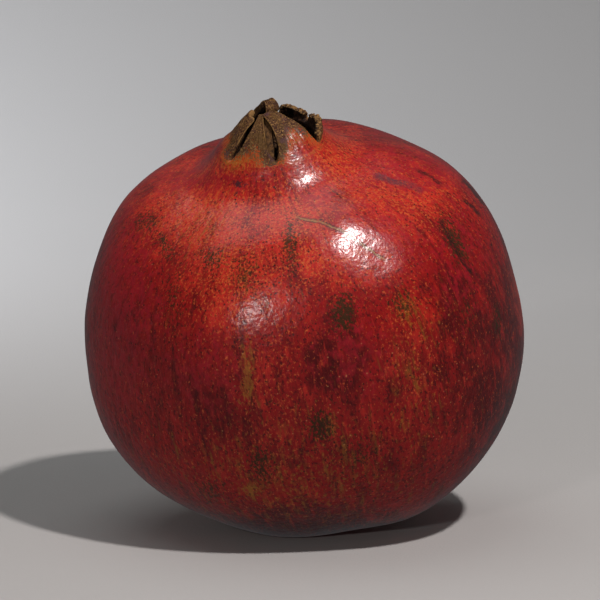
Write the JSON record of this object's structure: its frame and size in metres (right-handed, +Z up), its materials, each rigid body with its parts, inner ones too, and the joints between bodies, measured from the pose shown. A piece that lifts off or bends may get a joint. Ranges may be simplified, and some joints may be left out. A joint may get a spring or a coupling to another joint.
{
  "type": "pomegranate",
  "caption": "Whole ripe pomegranate with a leathery red rind, a crown of dry sepals round withered stamens and a short stalk stump, resting on a small flat spot.",
  "frame": {"origin": "on the surface the fruit rests on, under the middle of its outer box", "axes": "+Z up, with the fruit resting on its flat spot; the front is the -Y side; the crown is at the top and leans to the front (-Y) and to the left (-X)"},
  "size_m": [0.1, 0.0958, 0.0996],
  "materials": {
    "rind": "waxy"
  },
  "bodies": {
    "root": {"pomegranate": "rind"}
  },
  "joints": []
}
